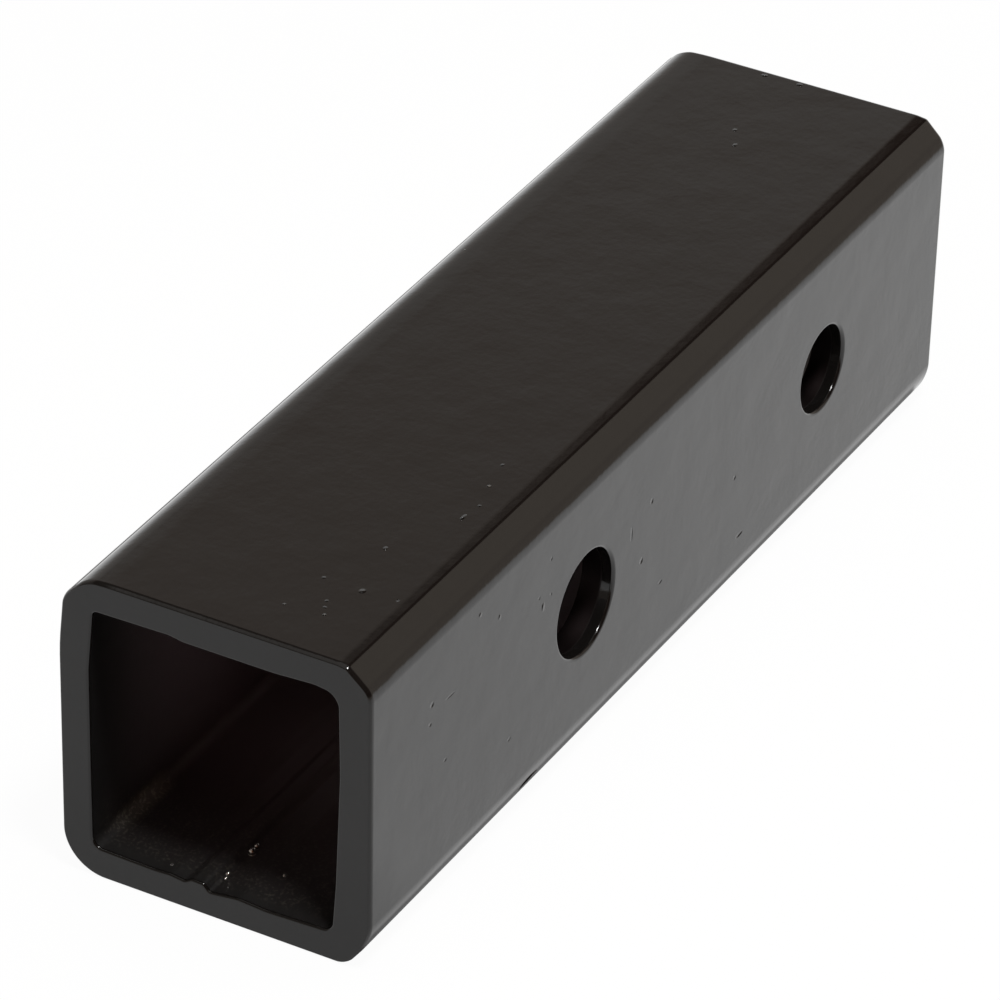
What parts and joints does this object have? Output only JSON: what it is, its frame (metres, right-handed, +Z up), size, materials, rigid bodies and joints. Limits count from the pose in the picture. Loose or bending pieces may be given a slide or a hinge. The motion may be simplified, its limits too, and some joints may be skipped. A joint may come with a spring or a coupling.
{
  "type": "hitch receiver adapter",
  "caption": "Short square steel tube that sleeves into a tow hitch receiver, cross-drilled for hitch pins of different sizes, coated semi-gloss black.",
  "frame": {"origin": "middle of the underside, halfway along the tube", "axes": "+X along the tube, from the receiver pin's end to the shank pin's end; +Y along the pin bores, away from the side the picture shows; +Z up, out of the creased top face"},
  "size_m": [0.1778, 0.0508, 0.0508],
  "materials": {
    "black_coat": "semi-gloss"
  },
  "bodies": {
    "root": {"receiver_tube": "black_coat"}
  },
  "joints": []
}
